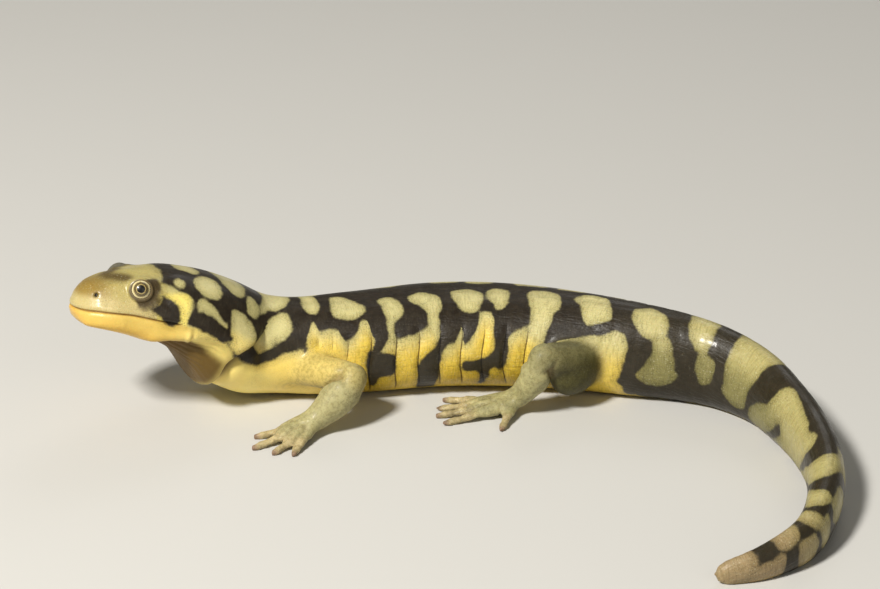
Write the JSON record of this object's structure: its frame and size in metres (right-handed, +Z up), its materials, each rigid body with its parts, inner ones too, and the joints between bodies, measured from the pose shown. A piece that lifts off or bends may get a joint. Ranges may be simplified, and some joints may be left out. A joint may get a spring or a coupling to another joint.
{
  "type": "tiger salamander",
  "caption": "Still life-size adult barred tiger salamander resting on its belly, head raised and turned to its left, tail curled round to its left.",
  "frame": {"origin": "on the floor, under the middle of the box round the whole animal", "axes": "the head faces -X, the animal's left side is on -Y, +Z is up"},
  "size_m": [0.156, 0.1224, 0.0335],
  "materials": {
    "skin": "moist smooth skin, satin",
    "eye": "wet gloss"
  },
  "bodies": {
    "root": {"head": "skin", "lower_jaw": "skin", "neck": "skin", "trunk": "skin", "tail_base": "skin", "tail_middle": "skin", "tail_tip": "skin", "left_upper_arm": "skin", "left_forearm": "skin", "left_hand": "skin", "right_upper_arm": "skin", "right_forearm": "skin", "right_hand": "skin", "left_thigh": "skin", "left_shank": "skin", "left_foot": "skin", "right_thigh": "skin", "right_shank": "skin", "right_foot": "skin", "left_eye": "eye", "right_eye": "eye"}
  },
  "joints": []
}
